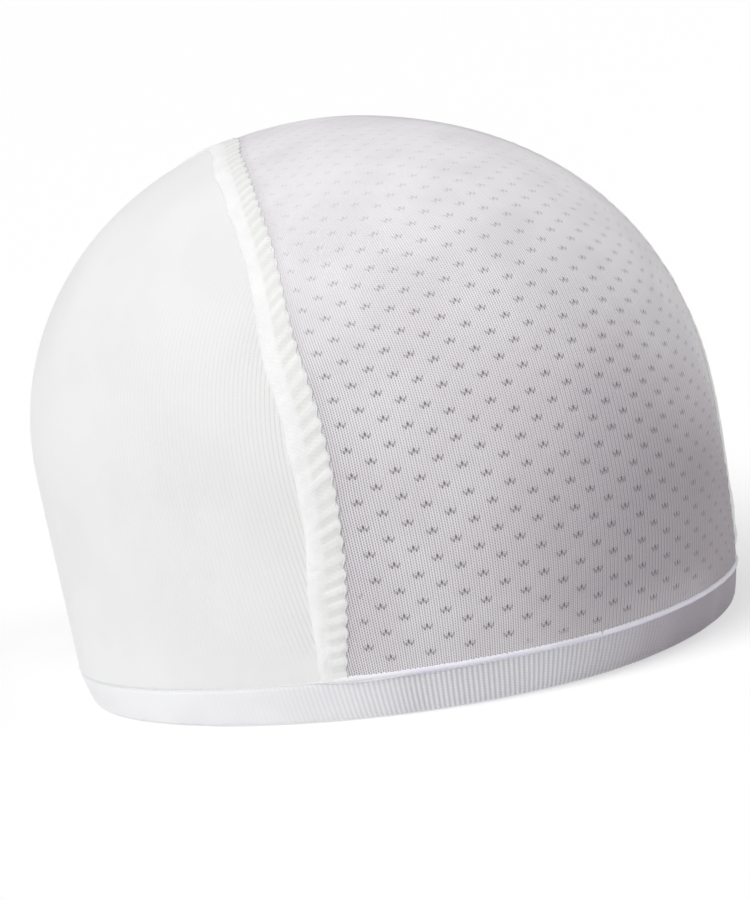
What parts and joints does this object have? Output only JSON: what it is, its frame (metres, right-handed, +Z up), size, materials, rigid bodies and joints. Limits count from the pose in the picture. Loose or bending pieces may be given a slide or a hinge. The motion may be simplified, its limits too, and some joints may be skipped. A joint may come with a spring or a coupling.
{
  "type": "helmet liner cap",
  "caption": "Thin knit skull cap worn under a helmet: a mesh strip over the crown, plain side panels, raised overlocked seams and a ribbed rim band.",
  "frame": {"origin": "on the surface the cap rests on, below the middle of the whole cap", "axes": "+Z up, the wearer faces -Y, +X to the wearer's left"},
  "size_m": [0.1654, 0.196, 0.1282],
  "materials": {
    "mesh_knit": "white eyelet mesh knit with a faint cool tint, fine lengthwise ribs and small W-shaped pinholes",
    "jersey": "white plain jersey, smooth and matt, with very fine lengthwise ribs",
    "seam_thread": "white overlock thread over a folded seam allowance",
    "rib_knit": "white one-by-one rib knit"
  },
  "bodies": {
    "root": {"mesh_panel": "mesh_knit", "side_panel_right": "jersey", "side_panel_left": "jersey", "seam_right": "seam_thread", "seam_left": "seam_thread", "rib_band": "rib_knit", "rim_piping": "rib_knit"}
  },
  "joints": []
}
